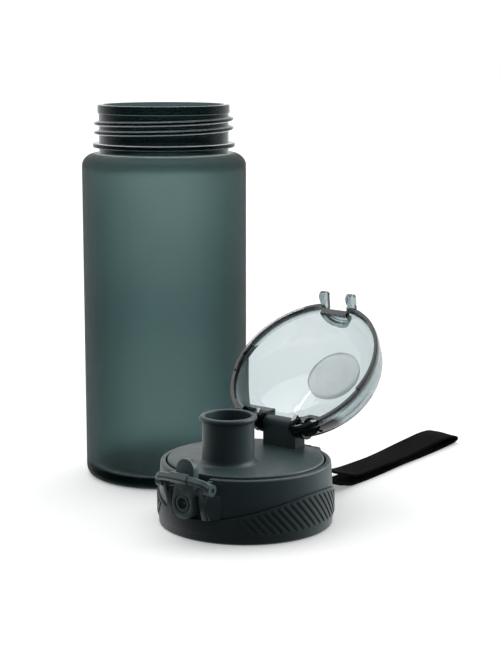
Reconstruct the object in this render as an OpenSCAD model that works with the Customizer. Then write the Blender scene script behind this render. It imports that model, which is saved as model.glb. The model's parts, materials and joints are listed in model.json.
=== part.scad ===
// Sports bottle with a flip-top drinking lid, shown open: the bottle stands, and the lid stands
// beside it with its clear cover swung back and its wrist strap lying on the table.
// Millimetres, +Z up. The origin is the centre of the bottle's base. X runs along the lid's
// hinge, so the lid's latch faces -Y and its strap leaves towards +Y.

/* [Bottle] */
// Outer radius of the bottle's body
body_r = 36.5; // [35.5:0.5:37]
// Thickness of the bottle's side wall
body_wall = 2.4; // [1.8:0.1:3]
// Height of the shoulder above the table
shoulder_z = 145.6; // [120:0.2:170]
// Height of the neck above the shoulder
neck_h = 21.3; // [21:0.1:22]
// Outer radius of the neck's lip, above the threads
neck_r = 29.3; // [29:0.1:29.4]
// Inner radius of the mouth
mouth_r = 26.6; // [25.4:0.1:27]
// Distance from one thread ridge to the next
thread_pitch = 4; // [3.6:0.1:4.2]

/* [Lid] */
// Place of the lid's centre beside the bottle, along X
lid_x = 78; // [76:0.5:120]
// Place of the lid's centre beside the bottle, along Y
lid_y = -39.4; // [-60:0.2:0]
// Outer radius of the grip ring
grip_r = 36.1; // [36:0.1:36.5]
// Outer radius of the lid's upper shell
shell_r = 35.5; // [35.4:0.1:35.8]
// Height of the lid's top face
disc_z = 26.8; // [26.6:0.1:27]
// Radius of the lid's top face
disc_r = 32.1; // [31.5:0.1:32.4]
// Lowest point of the wavy seam above the grip ring
seam_low = 8.9; // [8:0.1:9.2]
// Radius of the wave in the seam
seam_wave_r = 76; // [70:1:90]
// Number of slanted ribs on each side of the grip ring
rib_count = 20; // [8:1:22]

/* [Spout] */
// Distance of the spout in front of the lid's centre
spout_y = -11.3; // [-12:0.1:-10]
// Inner radius of the spout
spout_bore_r = 9.4; // [8.5:0.1:9.5]
// Height of the spout's rim above the table
spout_top = 46.4; // [42:0.1:46.5]

/* [Cover] */
// How far the cover is swung open, in degrees
open_deg = 138; // [120:1:138]
// Outer radius of the cover's rim
cover_r = 34.1; // [34:0.1:34.2]
// Thickness of the cover's wall
cover_wall = 1.5; // [1.2:0.1:1.6]
// Height of the hinge pin above the table
hinge_z = 35.6; // [35.4:0.1:35.8]
// Distance of the hinge pin behind the lid's centre
hinge_y = 25.6; // [25.4:0.1:25.8]

/* [Strap] */
// Width of the webbing
strap_w = 15; // [12:0.5:15.5]
// Thickness of the webbing
web_t = 1.3; // [1:0.1:1.4]

/* [Hidden] */
$fn = 96;
run_gap = 0.05;            // radial clearance of a pin that turns in its bore

// bottle
foot_r = body_r - 3;
foot_h = 4.5;
foot_in_r = 27;
push_up = 1.8;
floor_fillet = 4;
floor_z = 4.6;
shoulder_w = 6.5;
shoulder_h = 5.6;
neck_top = shoulder_z + neck_h;
neck_core_r = neck_r - 0.5; // the neck under its lip
lip_h = 3.9;
crown_flat = 1;
inner_r = body_r - body_wall;
flange_r = 31.6;
flange_z = shoulder_z + 2.6;
flange_t = 1.8;
thread_crest = 1.6;        // how far the thread stands out from the lip
thread_turns = 1.9;
thread_start_deg = 158;
thread_z = shoulder_z + 8.3;

// lid
cap_in_r = 31.3;           // clears the bottle's thread
cap_out_r = 33;
cap_foot_z = 4.2;
skirt_top_z = 18.5;
seat_r = 29.8;             // the bore above the thread, around the bottle's rim
seat_z = 22.4;             // the face that the gasket presses on
collar_r = 24.4;
collar_in_r = 23;
collar_z = 19.8;
ceiling_z = 24.4;
groove_z = 23.4;           // floor of the groove between the top face and the shell
shell_in_r = cap_out_r + 0.15;
shell_top_in_r = 32.9;     // the shell hooks over the cap, and leaves a narrow groove
shell_top_r = 34.95;
shell_top_z = 25.9;
seam_gap = 0.25;
seam_axis_z = seam_low + seam_wave_r;
step_z = 3.4;              // height of the step near the foot of the grip ring
rib_from_deg = 36;
rib_span_deg = 100;
rib_tilt_deg = 42;
rib_mid_z = 9.5;
rib_foot_z = 4.5;
rib_w = 1.35;
rib_out = 0.4;
rib_margin = 1.2;          // bare band between the ribs and the seam
recess_w = 7;              // half width of the latch recess
relief_w = 8.7;            // half width of the recess above relief_z, for the cover's ears
relief_z = 21.4;
jamb_out = 9.8;
jamb_foot_out = 14;        // where the jambs have faded into the shell
boss_out = 10.3;
boss_r = 1.9;
ring_y = -38;              // axis of the lock ring
ring_z = 23;
ring_pin_r = 0.9;
tongue_y = -36.6;          // axis that the latch tongue rocks on
tongue_z = 19.5;
tongue_pin_r = 0.9;
button_z = 15.8;
button_r = 1.5;
button_hole_r = 2.35;
button_ring_r = 3.2;       // raised ring round the button, inside a narrow groove
button_groove = 0.7;
tongue_w = 5.3;            // half width of the latch tongue at the button
tongue_head_w = 4.5;       // half width of its head
guide_r = 0.9;
coil_seat_y = -33.5;
post_w = 8.5;              // half width of the hinge post
post_r = 3.3;
hinge_pin_r = 1.2;
hinge_coil_r = 2.2;
hinge_wire_r = 0.3;
slot_w = 8.4;              // half width of the strap slot
slot_y = 30.8;
cheek_out = 11.7;
bar_y = 33.8;              // strap bar
bar_z = 23.4;
bar_r = 1.25;
cheek_r = 2.6;
strap_turn_deg = 3.4;

// spout
spout_wall = 1.2;
spout_r = spout_bore_r + spout_wall;
lip_r = 1.1;
spout_fillet = 2.4;

// cover, in its closed place
rim_z = 26.3;
rim_h = 4.6;
dome_r = cover_r - 0.7;
dome_z = 29;
dome_h = 22.6;
dome_lean = 7;             // the crown leans towards the spout
dome_power = 2.35;
rim_in_r = cover_r - 1.5;
facet_d = 4.6;             // distance of the flat rear face from the hinge axis
lug_r = 4.6;
lug_in = 8.8;
lug_out = 12.8;
hinge_bar_len = 14;
pocket_r = 7;
pocket_z = 29.3;
seal_r = 12.2;
seal_z = 47;

// lock ring, a flat bow between two round eyelets
ring_in = 10.6;
ring_out = 13.9;
eyelet_r = 2.4;
ring_rise_deg = 44;
ring_arm = 1.3;            // straight length of each arm from the axis
ring_corner_r = 2.6;
ring_bow_deg = 10;         // how far the bow has turned where it meets the corner
ring_bar = 1.45;           // half width of the bar
ring_chamfer = 0.6;
ring_pad = 1.8;            // half width of the thumb pad in the middle of the bow
ring_pad_deg = 4.2;

function arc(cx, cy, rx, ry, from, to, n = 10) =
    [for (i = [0:n]) let (a = from + (to - from) * i / n) [cx + rx * cos(a), cy + ry * sin(a)]];

// a quarter of a dome's section, from its widest point up to a small flat at the axis
function crown(r, h, n = 14) = concat(
    [for (i = [0:n - 1]) let (a = 90 * i / n, k = 2 / dome_power) [r * pow(cos(a), k), h * pow(sin(a), k)]],
    [[crown_flat, h], [0, h]]);

// indices of the faces of a tube of `rings` rings with `sides` points each, closed at both ends
function tube_faces(rings, sides) = concat(
    [[for (j = [0:sides - 1]) j]],
    [for (i = [0:rings - 2], j = [0:sides - 1])
        [i * sides + j, (i + 1) * sides + j, (i + 1) * sides + (j + 1) % sides, i * sides + (j + 1) % sides]],
    [[for (j = [sides - 1:-1:0]) (rings - 1) * sides + j]]);

// a helical ridge: a trapezoid section carried round the axis, fading in and out at its ends
module ridge(root_r, crest_r, turns, start_deg, z0) {
    steps = 30 * turns;
    side = crest_r > root_r ? -1 : 1;
    points = [for (i = [0:steps])
        let (a = start_deg + i * 360 * turns / steps,
            z = z0 + i * thread_pitch * turns / steps,
            fade = min(1, 0.08 + i / 3, 0.08 + (steps - i) / 3),
            crest = root_r + (crest_r - root_r) * fade)
        each [for (q = [[root_r, -1.15], [crest, -0.45], [crest, 0.45], [root_r, 1.15]])
            [q[0] * cos(a), q[0] * sin(a), z + side * q[1]]]];
    polyhedron(points, tube_faces(steps + 1, 4));
}

// a round wire wound about Z
module coil(mean_r, wire_r, turns, height) {
    steps = 14 * turns;
    points = [for (i = [0:steps], j = [0:5])
        let (a = i * 360 * turns / steps, b = 60 * j, r = mean_r + wire_r * cos(b))
        [r * cos(a), r * sin(a), i * height / steps + wire_r * sin(b)]];
    polyhedron(points, [for (f = tube_faces(steps + 1, 6)) [for (k = [len(f) - 1:-1:0]) f[k]]]);
}

// a section drawn in Y and Z, carried along X from x0 to x1
module along_x(x0, x1) translate([x0, 0, 0]) rotate([90, 0, 90]) linear_extrude(x1 - x0) children();

module rod_x(x0, x1, y, z, r) translate([x0, y, z]) rotate([0, 90, 0]) cylinder(r = r, h = x1 - x0);

module both_sides() {
    children();
    mirror([1, 0, 0]) children();
}

module at_lid() translate([lid_x, lid_y, 0]) children();

// turns a part drawn on the closed cover to where the open cover holds it
module opened(deg = open_deg)
    translate([0, hinge_y, hinge_z]) rotate([-deg, 0, 0]) translate([0, -hinge_y, -hinge_z]) children();

module bottle_shell() color([0.36, 0.44, 0.44]) {
    rotate_extrude() polygon(concat(
        [[0, push_up], [foot_in_r - foot_h, push_up], [foot_in_r, 0]],
        arc(foot_r, foot_h, body_r - foot_r, foot_h, -90, 0, 6),
        arc(body_r - shoulder_w, shoulder_z - shoulder_h, shoulder_w, shoulder_h, 0, 90, 10),
        [[neck_core_r, shoulder_z], [neck_core_r, flange_z], [flange_r, flange_z],
            [flange_r, flange_z + flange_t], [neck_core_r, flange_z + flange_t],
            [neck_core_r, neck_top - lip_h], [neck_r, neck_top - lip_h]],
        arc(neck_r - 0.6, neck_top - 0.6, 0.6, 0.6, 0, 90, 4),
        arc(mouth_r + 0.6, neck_top - 0.6, 0.6, 0.6, 90, 180, 4),
        arc(mouth_r, shoulder_z - 8.4, inner_r - mouth_r, 6.5, 90, 0, 10),
        arc(inner_r - floor_fillet, floor_z + floor_fillet, floor_fillet, floor_fillet, 0, -90, 6),
        [[0, floor_z]]));
    ridge(neck_core_r - 0.3, neck_r + thread_crest, thread_turns, thread_start_deg, thread_z);
}

module hinge_post() along_x(-post_w, post_w) {
    translate([hinge_y, hinge_z]) circle(r = post_r);
    translate([hinge_y - post_r, disc_z - 1]) square([2 * post_r, hinge_z - disc_z + 1]);
}

module spout() translate([0, spout_y, 0]) rotate_extrude() polygon(concat(
    [[spout_bore_r, ceiling_z], [spout_r + spout_fillet, ceiling_z]],
    arc(spout_r + spout_fillet, disc_z + spout_fillet, spout_fillet, spout_fillet, 270, 180, 6),
    arc(spout_r, spout_top - lip_r, lip_r, lip_r, -90, 90, 8),
    arc(spout_bore_r + 0.7, spout_top - 0.7, 0.7, 0.7, 90, 180, 4)));

module inner_cap() color([0.33, 0.37, 0.37]) at_lid() difference() {
    union() {
        rotate_extrude() polygon(concat(
            [[cap_in_r + 0.5, cap_foot_z], [cap_out_r, cap_foot_z], [cap_out_r, groove_z],
                [disc_r, groove_z]],
            arc(disc_r - 0.8, disc_z - 0.8, 0.8, 0.8, 0, 90, 5),
            [[0, disc_z], [0, ceiling_z], [collar_in_r, ceiling_z], [collar_in_r, collar_z],
                [collar_r, collar_z], [collar_r, seat_z], [seat_r, seat_z], [seat_r, skirt_top_z],
                [cap_in_r, skirt_top_z - 1], [cap_in_r, cap_foot_z + 0.5]]));
        hinge_post();
        spout();
        ridge(cap_in_r + 0.3, cap_in_r - 1.2, 1.7, 100, 8);
    }
    translate([0, spout_y, ceiling_z - 1]) cylinder(r = spout_bore_r, h = 6);
    rod_x(-post_w - 1, post_w + 1, hinge_y, hinge_z, hinge_pin_r);
    rod_x(-post_w - 1, -post_w + 1.6, hinge_y, hinge_z + hinge_coil_r, hinge_wire_r + 0.15);
    translate([-slot_w, slot_y, skirt_top_z + 1.2]) cube([2 * slot_w, 6, 10]);
    translate([0, -cap_out_r + 1.2, button_z]) rotate([90, 0, 0]) cylinder(r = guide_r, h = 3);
}

// the blank that the seam divides into the upper shell and the grip ring
module seam_drum(r) translate([0, 0, seam_axis_z]) rotate([90, 0, 0])
    cylinder(r = r, h = 90, center = true, $fn = 240);

module latch_jambs() both_sides() {
    along_x(recess_w, jamb_out) polygon([[-33.4, seam_low + 0.6], [-36.4, seam_low + 0.6], [-38.4, 17],
        [-38.4, relief_z], [-33.4, relief_z]]);
    along_x(relief_w, boss_out) {
        polygon([[-33.4, 17.5], [-38.4, 17.5], [ring_y - boss_r + 0.1, ring_z - 0.6],
            [ring_y, ring_z + boss_r], [-33.4, shell_top_z - 0.6]]);
        translate([ring_y, ring_z]) circle(r = boss_r);
    }
}

// wedges that carry the jambs' outer sides down to the shell, below the lock ring
module jamb_feet() both_sides() intersection() {
    along_x(jamb_out - 0.6, jamb_foot_out) polygon([[-31, seam_low], [-36, seam_low], [-38.2, 17],
        [-38.2, 18], [-35, 19.8], [-31, 19.8]]);
    translate([0, 0, seam_low]) linear_extrude(12) polygon([[jamb_out - 0.6, -33.4], [jamb_out - 0.6, -38.1],
        [jamb_out - 0.2, -38.1], [jamb_foot_out, -33], [jamb_foot_out - 1, -31.6]]);
}

// the two cheeks that hold the ends of the strap bar, cut off flat against the skirt
module strap_cheeks() both_sides() along_x(slot_w, cheek_out) intersection() {
    translate([bar_y, bar_z]) circle(r = cheek_r);
    translate([32, bar_z - cheek_r]) square(2 * cheek_r);
}

module shell_wall() rotate_extrude() polygon(concat(
    [[shell_in_r, seam_low], [shell_r, seam_low], [shell_r, 17]],
    arc(shell_top_r - 0.7, shell_top_z - 0.7, 0.7, 0.7, 0, 90, 4),
    [[shell_top_in_r, shell_top_z], [shell_top_in_r, groove_z + 0.2], [shell_in_r, groove_z + 0.2]]));

module outer_shell() color([0.3, 0.34, 0.34]) at_lid() difference() {
    union() {
        difference() {
            intersection() {
                union() {
                    shell_wall();
                    jamb_feet();
                }
                seam_drum(seam_wave_r - seam_gap);
            }
            translate([-recess_w, -45, 0]) cube([2 * recess_w, 15, 40]);
            translate([-relief_w, -45, relief_z]) cube([2 * relief_w, 15, 40]);
        }
        latch_jambs();
        strap_cheeks();
    }
    translate([-slot_w, 28, skirt_top_z + 1.2]) cube([2 * slot_w, 12, 20]);
    rod_x(-cheek_out + 1, cheek_out - 1, bar_y, bar_z, bar_r);
    rod_x(-9, 9, tongue_y, tongue_z, tongue_pin_r);
    both_sides() rod_x(9, boss_out + 1, ring_y, ring_z, ring_pin_r);
}

// slanted bars, trimmed to a band that follows the foot below and the seam above
module grip_ribs() intersection() {
    both_sides() for (i = [0:rib_count - 1])
        rotate([0, 0, rib_from_deg + i * rib_span_deg / (rib_count - 1)]) translate([0, -grip_r, rib_mid_z])
            rotate([0, -rib_tilt_deg, 0]) cube([rib_w, 3, 30], center = true);
    difference() {
        rotate_extrude() polygon([[grip_r - 0.6, rib_foot_z], [grip_r, rib_foot_z],
            [grip_r + rib_out, rib_foot_z + 0.4], [grip_r + rib_out, 19], [grip_r - 0.6, 19]]);
        seam_drum(seam_wave_r + rib_margin);
    }
}

module grip_ring() color([0.3, 0.34, 0.34]) at_lid() {
    difference() {
        rotate_extrude() polygon([[32.2, 0], [grip_r - 1, 0], [grip_r - 0.4, 0.6], [grip_r - 0.4, step_z],
            [grip_r, step_z + 0.3], [grip_r, 19], [shell_in_r, 19], [shell_in_r, cap_foot_z - 0.1],
            [32.2, cap_foot_z - 0.1]]);
        seam_drum(seam_wave_r);
    }
    grip_ribs();
}

module neck_gasket() color([0.8, 0.82, 0.82]) at_lid() rotate_extrude() polygon([[collar_r + 0.1, 20.9],
    [collar_r + 0.3, 20.7], [seat_r - 0.3, 20.7], [seat_r - 0.1, 20.9], [seat_r - 0.1, seat_z],
    [collar_r + 0.1, seat_z]]);

module hinge_pin() color([0.75, 0.75, 0.74]) at_lid() rod_x(-12.4, 12.4, hinge_y, hinge_z, hinge_pin_r);

module hinge_spring() color([0.7, 0.7, 0.7]) at_lid() {
    translate([-9.2, hinge_y, hinge_z]) rotate([0, -90, 0]) coil(hinge_coil_r, hinge_wire_r, 2.5, 1.7);
    rod_x(-9.3, -7, hinge_y, hinge_z + hinge_coil_r, hinge_wire_r + 0.1);
}

module latch_pin() color([0.75, 0.75, 0.74]) at_lid() rod_x(-9, 9, tongue_y, tongue_z, tongue_pin_r);

module latch_spring() color([0.7, 0.7, 0.7]) at_lid()
    translate([0, coil_seat_y, button_z]) rotate([90, 0, 0]) coil(1.8, 0.25, 4, 3.2);

module spring_guide() color([0.2, 0.2, 0.2]) at_lid()
    translate([0, -cap_out_r + 1.2, button_z]) rotate([90, 0, 0]) cylinder(r = guide_r, h = 6.9);

module ring_pins() color([0.45, 0.5, 0.5]) at_lid() both_sides()
    rod_x(9, ring_out - 0.3, ring_y, ring_z, ring_pin_r);

module strap_bar() color([0.75, 0.75, 0.74]) at_lid()
    rod_x(-cheek_out + 1, cheek_out - 1, bar_y, bar_z, bar_r);

// the crown of the cover as a solid, with a wall's thickness taken off all round by inset
module crown_solid(inset) intersection() {
    translate([0, 0, dome_z]) rotate([-dome_lean, 0, 0])
        rotate_extrude()
            polygon(concat([[0, -9], [dome_r - inset, -9]], crown(dome_r - inset, dome_h - inset)));
    opened(-open_deg) translate([-50, -50, hinge_z - facet_d + inset]) cube([100, 130, 90]);
    translate([-50, -50, rim_z + 1.5]) cube([100, 100, 60]);
}

module cover_walls() {
    difference() {
        union() {
            crown_solid(0);
            rotate_extrude() polygon([[rim_in_r, rim_z], [cover_r - 0.3, rim_z], [cover_r, rim_z + 0.4],
                [cover_r, rim_z + rim_h - 1], [cover_r - 0.6, rim_z + rim_h], [rim_in_r, rim_z + rim_h]]);
        }
        crown_solid(cover_wall);
        translate([0, 0, rim_z - 1]) cylinder(r = rim_in_r, h = 3);
    }
    intersection() {
        translate([0, -28.4, pocket_z]) rotate([90, 0, 0]) cylinder(r = pocket_r, h = 8);
        translate([0, 0, rim_z]) cylinder(r = dome_r, h = 20);
    }
    both_sides() {
        rod_x(lug_in - 0.2, lug_out, hinge_y, hinge_z, lug_r);
        intersection() {
            rod_x(lug_in, lug_in + 1.8, hinge_y, hinge_z, 9.2);
            translate([0, hinge_y - 1, rim_z]) cube([30, 20, 30]);
            crown_solid(0);
        }
        // thick bar beside each lug, square to the open cover
        intersection() {
            opened(-open_deg) translate([lug_in + 0.3, hinge_y + 1.6, hinge_z - facet_d])
                cube([hinge_bar_len, 4.4, 9]);
            crown_solid(cover_wall / 2);
        }
        // ears that pass beside the latch tongue
        along_x(5.5, 8.4)
            polygon(concat([[-33, 30], [-34.3, 30]], arc(-35.7, 24.3, 2.2, 2, 150, 360, 10), [[-33, 25.6]]));
    }
}

module flip_cover() color([0.72, 0.8, 0.8, 0.5]) at_lid() opened() difference() {
    cover_walls();
    // recess that the latch tongue's head lies in
    translate([0, -31, pocket_z]) rotate([90, 0, 0]) cylinder(r = pocket_r - 1.3, h = 8);
    translate([1.3 - pocket_r, -39, rim_z - 1]) cube([2 * pocket_r - 2.6, 8, pocket_z - rim_z + 1]);
    translate([0, 0, rim_z - 1]) cylinder(r = disc_r + 0.3, h = disc_z + 0.3 - rim_z + 1);
    // the rear of the rim is raised and cut away to swing clear of the lid's top face
    translate([-40, 8, rim_z - 1]) cube([80, 30, disc_z + 0.3 - rim_z + 1]);
    difference() {
        translate([-30, hinge_y, rim_z - 1]) cube([60, 15, 7.5]);
        rod_x(-31, 31, hinge_y, hinge_z, 8.6);
    }
    // slot that straddles the hinge post
    opened(-open_deg) translate([-lug_in, hinge_y - 13, hinge_z - 9.8]) cube([2 * lug_in, 18, 14.8]);
    rod_x(-20, 20, hinge_y, hinge_z, hinge_pin_r + run_gap);
    rod_x(-11.4, -lug_in + 1, hinge_y, hinge_z, 3.2);
}

module cover_seal() color([0.85, 0.87, 0.87]) at_lid() opened() intersection() {
    translate([0, spout_y, seal_z]) cylinder(r = seal_r, h = 10);
    crown_solid(cover_wall);
}

module latch_tongue() color([0.4, 0.45, 0.45]) at_lid() difference() {
    intersection() {
        along_x(-tongue_w, tongue_w) polygon([[-36.2, 9], [-39.6, 9], [-40, 11], [-39.9, 18], [-38.6, 24],
            [-37.8, 33.6], [-35.4, 33.6], [-35.4, 26.5], [-36.2, 23], [-36.2, 21.3], [-35.2, 20.7],
            [-34.8, 19.8], [-34.8, 19.2], [-35.2, 18.3], [-36.2, 17.7]]);
        // outline seen from the front: round at both ends and a little narrower at the head
        translate([0, -30, 0]) rotate([90, 0, 0]) linear_extrude(12) {
            translate([0, 9.5 + tongue_w]) circle(r = tongue_w);
            translate([0, 33.4 - tongue_head_w]) circle(r = tongue_head_w);
            polygon([[-tongue_w, 9.5 + tongue_w], [tongue_w, 9.5 + tongue_w],
                [tongue_head_w, 33.4 - tongue_head_w], [-tongue_head_w, 33.4 - tongue_head_w]]);
        }
    }
    rod_x(-7, 7, tongue_y, tongue_z, tongue_pin_r + run_gap);
    translate([0, -30, button_z]) rotate([90, 0, 0]) cylinder(r = button_r, h = 12);
    translate([0, -38.2, button_z]) rotate([90, 0, 0]) cylinder(r = button_hole_r, h = 3);
    // seat of the coil spring
    translate([0, -30, button_z]) rotate([90, 0, 0]) cylinder(r = button_hole_r, h = 7.4);
    translate([0, -39.5, button_z]) rotate([90, 0, 0]) difference() {
        cylinder(r = button_ring_r + button_groove, h = 3);
        cylinder(r = button_ring_r, h = 3);
    }
}

// section of the bar: a square with its corners cut off
module ring_section(half = ring_bar) {
    inner = half - ring_chamfer;
    polygon([[-half, -inner], [-inner, -half], [inner, -half], [half, -inner], [half, inner], [inner, half],
        [-inner, half], [-half, inner]]);
}

module lock_ring() color([0.45, 0.5, 0.5])
at_lid() translate([0, ring_y, ring_z]) rotate([-ring_rise_deg, 0, 0]) {
    arm_x = (ring_in + ring_out) / 2;
    corner_x = arm_x - ring_corner_r;
    bow_r = ring_corner_r + corner_x / sin(ring_bow_deg);
    bow_y = (bow_r - ring_corner_r) * cos(ring_bow_deg) - ring_arm;
    both_sides() difference() {
        union() {
            translate([0, bow_y, 0]) rotate([0, 0, 270])
                rotate_extrude(angle = ring_bow_deg) translate([bow_r, 0]) ring_section();
            translate([0, bow_y, 0]) rotate([0, 0, 270]) rotate_extrude(angle = ring_pad_deg)
                translate([bow_r + ring_pad - ring_bar, 0]) ring_section(ring_pad);
            translate([corner_x, -ring_arm, 0]) rotate([0, 0, 270 + ring_bow_deg])
                rotate_extrude(angle = 90 - ring_bow_deg) translate([ring_corner_r, 0]) ring_section();
            translate([arm_x, 0, 0]) rotate([90, 0, 0]) linear_extrude(ring_arm) ring_section();
            rod_x(ring_in, ring_out, 0, 0, eyelet_r);
        }
        rod_x(ring_in - 1, ring_out + 1, 0, 0, ring_pin_r + run_gap);
    }
}

// the loop of webbing as one solid, turned a little about the bar's middle
module wrist_strap() color([0.08, 0.08, 0.08]) at_lid() difference() {
    union() {
        rod_x(-strap_w / 2, strap_w / 2, bar_y, bar_z, bar_r + web_t + 0.1);
        translate([0, bar_y, 0]) rotate([0, 0, strap_turn_deg]) translate([0, -bar_y, 0])
            along_x(-strap_w / 2, strap_w / 2) polygon([[bar_y, 26], [37.4, 24.2], [42, 19.8], [50, 14.4],
                [60, 9.4], [70, 6], [80, 4.6], [102, 5], [125, 6.2], [147, 7.2], [160, 6.8], [167, 4.6],
                [168.3, 2.6], [166.5, 0.6], [163, 0], [72, 0], [60, 2.2], [50, 7], [42, 13.4], [37.6, 19],
                [bar_y, 20.8]]);
    }
    rod_x(-strap_w, strap_w, bar_y, bar_z, bar_r + run_gap);
}

bottle_shell();
inner_cap();
outer_shell();
grip_ring();
neck_gasket();
hinge_pin();
hinge_spring();
latch_pin();
latch_spring();
spring_guide();
ring_pins();
strap_bar();
flip_cover();
cover_seal();
latch_tongue();
lock_ring();
wrist_strap();
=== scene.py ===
import json
import math

import bmesh
import bpy
from mathutils import Matrix, Vector


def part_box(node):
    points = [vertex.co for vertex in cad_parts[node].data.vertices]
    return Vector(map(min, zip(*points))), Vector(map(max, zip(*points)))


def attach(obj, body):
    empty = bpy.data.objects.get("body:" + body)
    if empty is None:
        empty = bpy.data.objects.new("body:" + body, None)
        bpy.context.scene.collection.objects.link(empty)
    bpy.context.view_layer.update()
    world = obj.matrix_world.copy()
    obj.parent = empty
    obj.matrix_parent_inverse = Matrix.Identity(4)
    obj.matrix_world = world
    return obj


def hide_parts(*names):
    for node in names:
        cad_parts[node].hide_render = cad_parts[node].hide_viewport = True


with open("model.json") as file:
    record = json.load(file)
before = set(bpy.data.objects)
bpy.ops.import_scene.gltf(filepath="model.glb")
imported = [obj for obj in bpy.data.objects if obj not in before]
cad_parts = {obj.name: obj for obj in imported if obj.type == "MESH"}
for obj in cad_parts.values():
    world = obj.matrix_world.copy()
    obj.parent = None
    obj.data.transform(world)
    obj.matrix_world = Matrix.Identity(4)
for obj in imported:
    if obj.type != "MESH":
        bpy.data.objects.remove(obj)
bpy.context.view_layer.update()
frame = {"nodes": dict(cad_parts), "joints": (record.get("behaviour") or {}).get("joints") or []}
MM = 0.001
scene = bpy.context.scene

lo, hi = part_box("grip_ring")
LID = Vector(((lo.x + hi.x) / 2, (lo.y + hi.y) / 2, 0.0))   # the lid's middle, on the table
HINGE = next(Vector(j["pos_m"]) for j in frame["joints"] if j["name"] == "cover_hinge")
OPEN = math.radians(138)      # how far the cover stands open
YAW = math.radians(38.5)      # the camera's turn round the object
PITCH = math.radians(9.88)    # and its tilt down


# ---------------------------------------------------------------- camera

camera = bpy.data.objects.new("camera", bpy.data.cameras.new("camera"))
scene.collection.objects.link(camera)
camera.data.sensor_width = 36
camera.data.lens = 91.06
camera.location = (0.48675, -0.55051, 0.1955)
camera.rotation_euler = (math.pi / 2 - PITCH, 0, YAW)
camera.data.clip_end = 20
scene.camera = camera


# ---------------------------------------------------------------- sizes in millimetres

INNER_R, MOUTH_R = 34.1, 26.6                             # inside the bottle and inside its neck
NECK_R, CORE_R, LIP_Z = 29.3, 28.8, 163.0                 # the neck's lip, the wall under it, the lip's start
SHOULDER_Z, NECK_TOP, FLOOR_Z = 145.6, 166.9, 4.6         # shoulder's edge, mouth and inner floor
THREAD_Z, THREAD_PITCH, THREAD_H = 153.9, 4.0, 1.6        # the thread's start, rise in a turn, and depth
RIDGE_FOOT, RIDGE_FLANK = 1.3, 0.95                       # half the ridge's width, and its sloping part
RIM_DEPTH = 9.3                                           # from the hinge pin to the plane of the cover's rim
SPOUT_Y, BAR_Y = 11.3, 33.8                               # spout ahead of the lid's middle, bar behind it
STRAP_W, WEB_T, CORD_W, PICK_W = 15.0, 1.2, 1.25, 1.6     # webbing: width, thickness, warp cord, weft pick


# ---------------------------------------------------------------- node helpers

class Nodes:
    """A node tree that is written as short calls."""

    def __init__(self, tree):
        self.tree = tree
        tree.nodes.clear()

    def add(self, kind, inputs=None, **props):
        node = self.tree.nodes.new(kind)
        for k, v in props.items():
            setattr(node, k, v)
        for k, v in (inputs or {}).items():
            socket = node.inputs[k]
            if isinstance(v, bpy.types.NodeSocket):
                self.tree.links.new(v, socket)
            else:
                socket.default_value = v
        return node

    def place(self):
        """Where the point is on its own piece, in metres."""
        return self.add("ShaderNodeTexCoord").outputs["Object"]

    def math(self, op, a, b=0.0):
        return self.add("ShaderNodeMath", {0: a, 1: b}, operation=op).outputs[0]

    def vector(self, op, a, b=(0, 0, 0)):
        node = self.add("ShaderNodeVectorMath", {0: a, 1: b}, operation=op)
        return node.outputs["Value" if op in ("DOT_PRODUCT", "LENGTH") else "Vector"]

    def noise(self, scale, detail=2.0, vector=None, dist=0.0):
        ins = {"Vector": vector or self.place(), "Scale": scale, "Detail": detail, "Distortion": dist}
        return self.add("ShaderNodeTexNoise", ins).outputs["Fac"]

    def ramp(self, fac, stops):
        node = self.add("ShaderNodeValToRGB", {"Fac": fac})
        while len(node.color_ramp.elements) < len(stops):
            node.color_ramp.elements.new(0.5)
        for e, (at, c) in zip(node.color_ramp.elements, stops):
            e.position = at
            e.color = (*c, 1)
        return node.outputs["Color"]

    def tints(self, fac, dark, light):
        """A noise's middle band, spread from one colour to another."""
        return self.ramp(fac, [(0.3, dark), (0.7, light)])

    def range(self, value, a, b, c, d):
        ins = {"Value": value, "From Min": a, "From Max": b, "To Min": c, "To Max": d}
        return self.add("ShaderNodeMapRange", ins).outputs["Result"]

    def spread(self, fac, low, high):
        """A noise's middle band, spread from one value to another."""
        return self.range(fac, 0.3, 0.7, low, high)

    def blend(self, fac, a, b, how="MIX"):
        """Two colours mixed."""
        ins = {"Factor": fac, 6: a, 7: b}
        return self.add("ShaderNodeMix", ins, data_type="RGBA", blend_type=how).outputs[2]

    def bump(self, height, strength, distance):
        ins = {"Height": height, "Strength": strength, "Distance": distance}
        return self.add("ShaderNodeBump", ins).outputs["Normal"]

    def absorption(self, colour, density):
        """A clear plastic's volume, which makes thick parts and rims go dark."""
        return self.add("ShaderNodeVolumeAbsorption", {"Color": (*colour, 1), "Density": density})

    def finish(self, shader, volume=None):
        """Ends a material's tree."""
        ends = {"Surface": shader.outputs[0]}
        if volume:
            ends["Volume"] = volume.outputs[0]
        self.add("ShaderNodeOutputMaterial", ends)

    def principled(self, inputs, volume=None):
        self.finish(self.add("ShaderNodeBsdfPrincipled", inputs), volume)


def material(name, build):
    """A material whose tree is made by build(nodes)."""
    mat = bpy.data.materials.new(name)
    mat.use_nodes = True
    build(Nodes(mat.node_tree))
    return mat


def shade(c, k):
    return tuple(min(1.0, x * k) for x in c)


def moulded(colour, rough, grain=1.0):
    """Fine matte plastic: a spark-eroded grain, a faint cloudiness and uneven gloss."""
    def build(n):
        height = n.math("ADD", n.noise(2600), n.math("MULTIPLY", n.noise(900, 1), 0.6))
        n.principled({
            "Base Color": n.tints(n.noise(45, 3), shade(colour, 0.93), shade(colour, 1.06)),
            "Roughness": n.spread(n.noise(160, 3), rough - 0.04, rough + 0.05),
            "Specular IOR Level": 0.3,
            "Normal": n.bump(height, 0.35 * grain, 0.05 * MM)})
    return build


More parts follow.
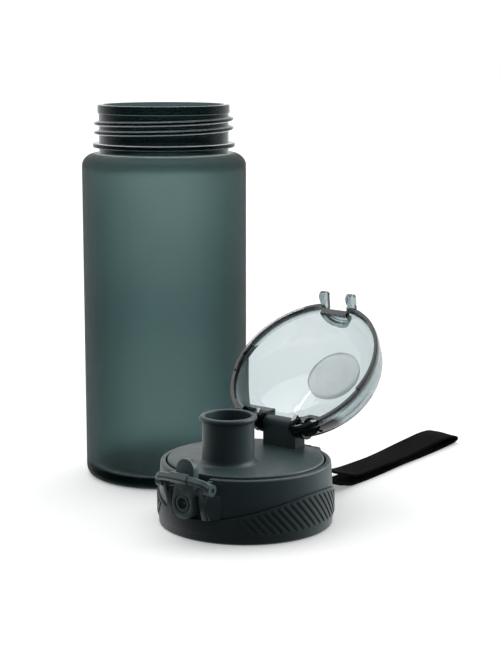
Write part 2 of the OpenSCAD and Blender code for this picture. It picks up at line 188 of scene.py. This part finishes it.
def bottle_plastic(n):
    """Tinted plastic, etched satin up to the shoulder and left glossy on the neck."""
    height = n.add("ShaderNodeSeparateXYZ", {0: n.place()}).outputs[2]
    neck = n.range(height, (SHOULDER_Z - 0.3) * MM, (SHOULDER_Z + 0.3) * MM, 0.0, 1.0)
    # painted light and shade: the satin colour is light at the foot, darkest halfway up and lightest at the
    # shoulder;
    # the noise adds a little random tone
    painted_light_by_height = n.math("ADD", n.range(height, 0.0, 0.15, 0.0, 1.0), n.spread(n.noise(22), -0.06, 0.06))
    satin = n.ramp(painted_light_by_height, [(0.0, (0.74, 0.80, 0.79)), (0.5, (0.60, 0.67, 0.67)), (1.0, (0.88, 0.92, 0.91))])
    satin_rough = n.spread(n.noise(300), 0.48, 0.56)
    gloss_rough = n.spread(n.noise(400), 0.03, 0.07)
    grain = n.math("MULTIPLY", n.noise(2200), n.math("SUBTRACT", 1.0, neck))
    n.principled({
        "Base Color": n.blend(neck, satin, (0.155, 0.20, 0.207, 1)),
        "Roughness": n.add("ShaderNodeMix", {"Factor": neck, 2: satin_rough, 3: gloss_rough}).outputs[0],
        "Transmission Weight": 1.0,
        "IOR": 1.2,
        "Normal": n.bump(grain, 0.3, 0.04 * MM)}, n.absorption((0.14, 0.300, 0.300), 450))


def clear_cover(n):
    """Faintly tinted clear plastic; painted shade darkens the rim's thick bead and the lugs on the pin."""
    from_pin = n.vector("SUBTRACT", n.place(), tuple(HINGE))
    depth = n.vector("DOT_PRODUCT", from_pin, (0, -math.sin(OPEN), -math.cos(OPEN)))
    to_pin = n.vector("LENGTH", n.vector("MULTIPLY", from_pin, (0, 1, 1)))
    in_bead = n.range(depth, (RIM_DEPTH - 4.5) * MM, RIM_DEPTH * MM, 0, 1)
    in_lugs = n.range(to_pin, 5.0 * MM, 9.5 * MM, 0.6, 0)
    off_ears = n.range(to_pin, 57.8 * MM, 59.0 * MM, 1, 0.25)     # ears at the front: little painted shade
    # painted shade: bead and lugs coloured near black, for the dark look of thick clear plastic seen edge-on
    painted_rim_shade = n.math("MULTIPLY", n.math("MAXIMUM", in_bead, in_lugs), off_ears)
    painted_rim_dark = n.ramp(painted_rim_shade, [(0.2, (1, 1, 1)), (0.55, (0.018, 0.022, 0.023))])
    cloud = n.tints(n.noise(30), (0.94, 0.96, 0.96), (1.0, 1.0, 1.0))
    n.principled({
        "Base Color": n.blend(1.0, cloud, painted_rim_dark, "MULTIPLY"),
        "Roughness": n.range(n.noise(400), 0.35, 0.65, 0.012, 0.028),
        "Transmission Weight": 1.0,
        "IOR": 1.52,
        "Normal": n.bump(n.noise(55, dist=0.4), 0.12, 0.3 * MM)}, n.absorption((0.28, 0.42, 0.44), 400))


def silicone(n):
    """Whitish translucent rubber."""
    n.principled({
        "Base Color": n.tints(n.noise(90, 3), (0.93, 0.93, 0.92), (0.98, 0.98, 0.97)),
        "Roughness": n.spread(n.noise(260), 0.5, 0.6),
        "Transmission Weight": 0.92,
        "IOR": 1.2,
        "Normal": n.bump(n.noise(1500), 0.2, 0.04 * MM)})


def steel(n):
    """Drawn wire and rod, with fine lines along X."""
    drawn = n.add("ShaderNodeMapping", {"Vector": n.place(), "Scale": (60, 2600, 2600)}).outputs[0]
    lines = n.noise(1.0, 3, drawn)
    n.principled({
        "Base Color": n.tints(lines, (0.50, 0.50, 0.49), (0.66, 0.66, 0.64)),
        "Metallic": 1.0,
        "Roughness": n.spread(lines, 0.2, 0.36),
        "Normal": n.bump(lines, 0.25, 0.03 * MM)})


def webbing(n):
    """Plain-woven webbing: warp cords along the strap and weft picks across it."""
    uv = n.add("ShaderNodeUVMap", uv_map="weave").outputs[0]
    xyz = n.add("ShaderNodeSeparateXYZ", {0: uv})
    across, along = xyz.outputs[0], xyz.outputs[1]
    warp = n.math("SINE", n.math("MULTIPLY", across, 2 * math.pi / (CORD_W * MM)))
    half = n.math("MULTIPLY", n.math("SIGN", warp), math.pi / 2)
    weft = n.math("SINE", n.math("ADD", n.math("MULTIPLY", along, 2 * math.pi / (PICK_W * MM)), half))
    cord = n.math("ABSOLUTE", warp)
    weave = n.math("ADD", n.math("MULTIPLY", cord, 0.6), n.math("MULTIPLY", weft, 0.4))
    fuzz = n.noise(3800)
    height = n.math("ADD", weave, n.math("MULTIPLY", fuzz, 0.25))
    # colour darker in the weave's hollows, lighter on its crests, and uneven in random patches
    weave_tone = n.math("ADD", n.math("MULTIPLY", height, 0.35), n.math("MULTIPLY", n.noise(70, 3), 0.5))
    n.principled({
        "Base Color": n.ramp(weave_tone, [(0.15, (0.0012, 0.0012, 0.0013)), (0.75, (0.0045, 0.0045, 0.0047))]),
        "Roughness": n.spread(fuzz, 0.85, 0.95),
        "Specular IOR Level": 0.05,
        "Sheen Weight": 0.01,
        "Sheen Roughness": 0.4,
        "Normal": n.bump(height, 0.8, 0.25 * MM)})


LID_GREY = (0.031, 0.050, 0.052)
LATCH_GREY = (0.066, 0.096, 0.098)
mats = {
    "bottle": material("satin_bottle", bottle_plastic),
    "cover": material("clear_cover", clear_cover),
    "lid": material("lid_plastic", moulded(LID_GREY, 0.42)),
    "grip": material("grip_plastic", moulded(shade(LID_GREY, 0.8), 0.42, 1.3)),
    "latch": material("latch_plastic", moulded(LATCH_GREY, 0.38)),
    "silicone": material("silicone", silicone),
    "steel": material("steel", steel),
    "web": material("webbing", webbing),
}


# ---------------------------------------------------------------- CAD nodes that stay

def dress(node, mat, bevel=0.0):
    """Gives a CAD node its material and, through modifiers alone, welded seams and softened edges."""
    obj = frame["nodes"][node]
    obj.data.materials.clear()
    obj.data.materials.append(mats[mat])
    for p in obj.data.polygons:
        p.material_index = 0
        p.use_smooth = True
    obj.modifiers.new("weld", "WELD").merge_threshold = 0.002 * MM
    if bevel:
        b = obj.modifiers.new("bevel", "BEVEL")
        b.width = bevel * MM
        b.segments = 2
        b.limit_method = "ANGLE"
        b.angle_limit = math.radians(34)
    obj.modifiers.new("split", "EDGE_SPLIT").split_angle = math.radians(36)


dress("inner_cap", "lid")
dress("outer_shell", "lid", 0.25)
dress("grip_ring", "grip", 0.22)
dress("latch_tongue", "latch", 0.3)
dress("lock_ring", "latch", 0.2)
dress("flip_cover", "cover")
dress("neck_gasket", "silicone")
dress("spring_guide", "lid")
dress("ring_pins", "latch")
for name in ("hinge_pin", "hinge_spring", "latch_pin", "latch_spring", "strap_bar"):
    dress(name, "steel")


# ---------------------------------------------------------------- mesh helpers

def arc(cx, cz, rx, rz, a0, a1, n):
    """Points along part of an ellipse, from a0 to a1 degrees."""
    turns = [math.radians(a0 + (a1 - a0) * i / n) for i in range(n + 1)]
    return [(cx + rx * math.cos(a), cz + rz * math.sin(a)) for a in turns]


def smooth(x):
    """Eases from 0 to 1 as x does."""
    x = min(1.0, max(0.0, x))
    return x * x * (3 - 2 * x)


def shown(name, mesh):
    obj = bpy.data.objects.new(name, mesh)
    scene.collection.objects.link(obj)
    return obj


def finished(name, bm):
    bmesh.ops.recalc_face_normals(bm, faces=bm.faces)
    mesh = bpy.data.meshes.new(name)
    bm.to_mesh(mesh)
    bm.free()
    return shown(name, mesh)


def supported(profile, near=0.25):
    """Adds points close to both ends of each long straight run, so that smooth shading stays local."""
    out = [profile[0]]
    for p, q in zip(profile, profile[1:]):
        d = math.dist(p, q)
        if d < 1e-6:
            continue
        if d > 4 * near:
            for t in (near / d, 1 - near / d):
                out.append((p[0] + (q[0] - p[0]) * t, p[1] + (q[1] - p[1]) * t))
        out.append(q)
    return out


def lathe(name, profile, sides, radius=None, centre=(0, 0)):
    """A surface of revolution about Z from a profile in millimetres that starts and ends on the axis.

    radius(r, z, angle, i) may change each point's radius.
    """
    bm = bmesh.new()
    cx, cy = centre
    rings = []
    for i, (r, z) in enumerate(profile):
        if r < 1e-6:
            rings.append([bm.verts.new((cx, cy, z * MM))])
            continue
        ring = []
        for j in range(sides):
            a = 2 * math.pi * j / sides
            q = radius(r, z, a, i) if radius else r
            ring.append(bm.verts.new((cx + q * MM * math.cos(a), cy + q * MM * math.sin(a), z * MM)))
        rings.append(ring)
    for a, b in zip(rings, rings[1:]):
        for j in range(sides):
            k = (j + 1) % sides
            if len(a) == 1:
                face = bm.faces.new((a[0], b[j], b[k]))
            elif len(b) == 1:
                face = bm.faces.new((a[j], b[0], a[k]))
            else:
                face = bm.faces.new((a[j], b[j], b[k], a[k]))
            face.smooth = True
    return finished(name, bm)


# ---------------------------------------------------------------- bottle

THREAD_TURNS = 1.9
THREAD_START = math.radians(158)
THREAD_FADE = math.radians(36)      # the ridge dies away over this much at either end
outer = ([(0, 1.8), (22.0, 1.8)] + arc(22.0, 2.4, 0.6, 0.6, -90, -45, 3) + [(26.2, 0.35)]
         + arc(27.2, 1.0, 1.0, 1.0, -135, -90, 4) + arc(33.5, 4.5, 3, 4.5, -90, 0, 14)
         + arc(30, 140, 6.5, 5.6, 0, 90, 22) + arc(29.4, 146.2, 0.6, 0.6, -90, -180, 5)
         + arc(29.4, 147.6, 0.6, 0.6, 180, 90, 4) + arc(31.1, 148.7, 0.5, 0.5, -90, 0, 5)
         + arc(31.1, 149.5, 0.5, 0.5, 0, 90, 5) + arc(29.3, 150.5, 0.5, 0.5, -90, -180, 4))
neck_rows = [(NECK_R, 151.2 + 0.25 * k) for k in range(58)]
rim = (arc(NECK_R - 0.7, NECK_TOP - 0.7, 0.7, 0.7, 0, 90, 6)
       + arc(MOUTH_R + 0.7, NECK_TOP - 0.7, 0.7, 0.7, 90, 180, 6))
inner = (arc(MOUTH_R, SHOULDER_Z - 8.4, INNER_R - MOUTH_R, 6.5, 90, 0, 20)
         + arc(INNER_R - 4, FLOOR_Z + 4, 4, 4, 0, -90, 10) + [(0, FLOOR_Z)])
lower = supported(outer)
bottle_profile = lower + neck_rows + supported(rim + inner)
first, last = len(lower), len(lower) + len(neck_rows)


def threaded(r, z, a, i):
    """The neck's radius at one point: the wall, the lip above it and the ridge of the thread."""
    if not first <= i < last:
        return r
    r = CORE_R + (NECK_R - CORE_R) * smooth((z - LIP_Z) / 0.3)
    ridge = 0.0
    end = THREAD_TURNS * 2 * math.pi
    for turn in range(3):
        t = (a - THREAD_START) % (2 * math.pi) + 2 * math.pi * turn
        if t > end:
            continue
        fade = smooth(t / THREAD_FADE) * smooth((end - t) / THREAD_FADE)
        d = abs(z - THREAD_Z - THREAD_PITCH * t / (2 * math.pi))
        ridge = max(ridge, fade * smooth((RIDGE_FOOT - d) / RIDGE_FLANK))
    return r + (NECK_R + THREAD_H - r) * ridge


bottle = lathe("bottle_body", bottle_profile, 288, threaded)
bottle.data.materials.append(mats["bottle"])
bottle.visible_glossy = False     # other pieces don't mirror the bottle
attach(bottle, "bottle")
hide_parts("bottle_shell")


# ---------------------------------------------------------------- cover seal

# a silicone pad with a raised sealing ring, made on the shut cover and then swung open with it
SEAL = [(0, 47.7), (4.4, 47.7), (5.2, 47.9), (5.7, 48.1), (7.2, 48.1), (7.8, 47.9), (8.3, 47.5), (9.2, 47.2),
        (10.6, 47.05), (11.6, 47.2), (12.1, 47.6), (12.2, 48.1), (12.2, 49.7), (11.8, 50.2), (0, 50.9)]
seal = lathe("seal_pad", supported(SEAL, 0.12), 96, centre=(LID.x, LID.y - SPOUT_Y * MM))
seal.data.transform(Matrix.Translation(HINGE) @ Matrix.Rotation(-OPEN, 4, "X") @ Matrix.Translation(-HINGE))
seal.data.materials.append(mats["silicone"])
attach(seal, "cover")
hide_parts("cover_seal")


# ---------------------------------------------------------------- wrist strap

def spline(points, step):
    """Catmull-Rom through a closed ring of points, resampled evenly."""
    n = len(points)
    fine = []
    for i in range(n):
        p0, p1, p2, p3 = (Vector(points[(i + k) % n]) for k in (-1, 0, 1, 2))
        for k in range(24):
            t = k / 24
            fine.append(0.5 * ((2 * p1) + (p2 - p0) * t + (2 * p0 - 5 * p1 + 4 * p2 - p3) * t * t
                               + (3 * p1 - p0 - 3 * p2 + p3) * t ** 3))
    lengths = [(fine[(i + 1) % len(fine)] - fine[i]).length for i in range(len(fine))]
    total = sum(lengths)
    count = round(total / step)
    out, i, run = [], 0, 0.0
    for k in range(count):
        want = total * k / count
        while run + lengths[i] < want:
            run += lengths[i]
            i += 1
        out.append(fine[i].lerp(fine[(i + 1) % len(fine)], (want - run) / lengths[i]))
    return out, total


# the webbing's middle line as (distance behind the lid's middle, height), once round from over the bar
ROUTE = [(33.8, 25.4), (35.8, 24.6), (38.6, 21.9), (42, 18.6), (50, 13.4), (60, 8.6), (68, 5.6), (74, 4.2),
         (82, 3.5), (94, 3.4), (108, 3.4), (124, 3.6), (140, 4.3), (152, 4.9), (160, 4.6), (165, 3.8),
         (167.4, 2.6), (166, 1.3), (160, 0.75), (150, 0.65), (128, 0.65), (104, 0.65), (86, 0.65), (74, 0.7),
         (67, 1.1), (60, 3.4), (50, 9.0), (42, 15.6), (37.4, 19.4), (35.2, 21.7), (33.8, 21.4), (32.2, 22.2),
         (31.8, 23.4), (32.4, 24.8)]
STRAP_TURN = math.radians(3.4)      # the loop lies a little askew to the lid
line, loop_mm = spline(ROUTE, 0.8)


def across_strap():
    """The webbing's section: two flat faces with rounded selvedges."""
    w, t = STRAP_W / 2, WEB_T / 2
    section = []
    for side in (1, -1):
        start = -90 * side
        for k in range(7):
            a = math.radians(start + 30 * k)
            section.append((side * (w - t) + t * math.cos(a), t * math.sin(a)))
        section += [(side * (w - t) * (1 - 2 * k / 12), side * t) for k in range(1, 12)]
    return section


def strap_point(p, up, x, h):
    """One point of the webbing, x across it and h above its middle line."""
    # the top leg lifts its far edge at the lid and a little at the loop's end
    lift = 0.05 * smooth((p.x - 105) / 45) + 0.26 * smooth((p.x - 36) / 6) * smooth((66 - p.x) / 16)
    twist = lift * smooth((p.y - 1.5) / 2)
    sag = 0.18 * math.sin(p.x * 0.13 + x * 0.35) * smooth((p.x - 45) / 20)
    ribs = 0.05 * math.cos(2 * math.pi * x / CORD_W) if abs(x) < (STRAP_W - WEB_T) / 2 else 0
    q = p + up * (h + sag + (ribs if h > 0 else -ribs)) - Vector((0, twist * x))
    reach = q.x - BAR_Y
    side = x * math.cos(STRAP_TURN) - reach * math.sin(STRAP_TURN)
    back = BAR_Y + x * math.sin(STRAP_TURN) + reach * math.cos(STRAP_TURN)
    return LID.x + side * MM, LID.y + back * MM, max(0.03 * MM, q.y * MM)


def strap_mesh():
    bm = bmesh.new()
    uv = bm.loops.layers.uv.new("weave")
    section = across_strap()
    m, n = len(section), len(line)
    girth = [0.0]
    for k in range(m):
        girth.append(girth[-1] + math.dist(section[k], section[(k + 1) % m]))
    rows = []
    for i, p in enumerate(line):
        ahead = (line[(i + 1) % n] - line[i - 1]).normalized()
        up = Vector((-ahead.y, ahead.x))
        rows.append([bm.verts.new(strap_point(p, up, x, h)) for x, h in section])
    for i in range(n):
        for k in range(m):
            a, b = rows[i], rows[(i + 1) % n]
            face = bm.faces.new((a[k], a[(k + 1) % m], b[(k + 1) % m], b[k]))
            face.smooth = True
            for loop, (u, v) in zip(face.loops, ((k, i), (k + 1, i), (k + 1, i + 1), (k, i + 1))):
                loop[uv].uv = (girth[u] * MM, v * loop_mm / n * MM)
    return finished("wrist_loop", bm)


strap = strap_mesh()
strap.data.materials.append(mats["web"])
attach(strap, "strap")
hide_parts("wrist_strap")


# ---------------------------------------------------------------- floor and light

def pale(n):
    """Nearly white, and bright enough that the floor leaves no horizon."""
    diffuse = n.add("ShaderNodeBsdfDiffuse", {
        "Color": n.ramp(n.noise(3, 1), [(0, (0.90, 0.90, 0.90)), (1, (0.92, 0.92, 0.92))])})
    glow = n.add("ShaderNodeEmission", {"Color": (1, 1, 1, 1), "Strength": 0.3})
    n.finish(n.add("ShaderNodeAddShader", {0: diffuse.outputs[0], 1: glow.outputs[0]}))


HALF = 6                       # half the floor's side, in metres
FLOOR_Z0 = -0.02 * MM          # just under the pieces that stand on it
mesh = bpy.data.meshes.new("floor")
corners = [(x * HALF, y * HALF, FLOOR_Z0) for x, y in ((-1, -1), (1, -1), (1, 1), (-1, 1))]
mesh.from_pydata(corners, [], [(0, 1, 2, 3)])
floor = shown("floor", mesh)
floor.data.materials.append(material("pale_floor", pale))
floor.visible_diffuse = False
floor.visible_glossy = False

# level directions from the object to the camera, and to the camera's right
toward = Vector((math.sin(YAW), -math.cos(YAW), 0))
right = Vector((math.cos(YAW), math.sin(YAW), 0))
above = Vector((0, 0, 1))


def lamp(name, kind, energy, shines):
    """A lamp that shines along a direction."""
    obj = bpy.data.objects.new(name, bpy.data.lights.new(name, kind))
    scene.collection.objects.link(obj)
    obj.data.energy = energy
    obj.rotation_euler = shines.to_track_quat("-Z", "Y").to_euler()
    return obj


def softbox(name, place, aim, wide, high, energy, lights):
    """A soft lamp that lights only the pieces named, the others being flagged off from it."""
    box = lamp(name, "AREA", energy, aim - place)
    box.location = place
    box.data.shape = "RECTANGLE"
    box.data.size = wide
    box.data.size_y = high
    lit = bpy.data.collections.new(name + "_lights")
    for piece in lights:
        lit.objects.link(frame["nodes"][piece])
    box.light_linking.receiver_collection = lit


sun = lamp("overhead", "SUN", 1.2, toward * 0.25 + right * 0.15 - above)
sun.data.angle = math.radians(70)

# a box beside the lid for its near side, and two strips over the cover for its highlights
LID_PIECES = ("inner_cap", "outer_shell", "grip_ring", "latch_tongue", "lock_ring")
softbox("side_box", LID + right * 0.5 - toward * 0.12 + above * 0.35, LID, 0.6, 0.4, 4.5, LID_PIECES)
dome = LID + Vector((0, 0.044, 0.059))
softbox("strip_a", dome + Vector((-0.43, -0.06, 0.55)), dome, 0.5, 0.05, 0.5, ("flip_cover",))
softbox("strip_b", dome + Vector((-0.30, -0.02, 0.63)), dome, 0.5, 0.03, 0.3, ("flip_cover",))

world = bpy.data.worlds.new("world")
world.use_nodes = True
scene.world = world
w = Nodes(world.node_tree)
# the camera sees white, and other rays a studio that is bright behind the object and dark in front
way = w.add("ShaderNodeTexCoord").outputs["Generated"]
facing = w.vector("DOT_PRODUCT", way, tuple(toward))
studio = w.ramp(w.range(facing, -1, 1, 0, 1), [
    (0.34, (1.0, 1.0, 1.0)), (0.52, (0.36, 0.37, 0.38)), (0.72, (0.12, 0.125, 0.13))])
path = w.add("ShaderNodeLightPath")
light = w.add("ShaderNodeBackground", {"Color": studio, "Strength": 1.1})
white = w.add("ShaderNodeBackground", {"Color": (1, 1, 1, 1), "Strength": 1.0})
seen = path.outputs["Is Camera Ray"]
mix = w.add("ShaderNodeMixShader", {0: seen, 1: light.outputs[0], 2: white.outputs[0]})
w.add("ShaderNodeOutputWorld", {"Surface": mix.outputs[0]})
scene.view_settings.view_transform = "Standard"
scene.cycles.transmission_bounces = 16
scene.cycles.max_bounces = 18
scene.cycles.transparent_max_bounces = 16
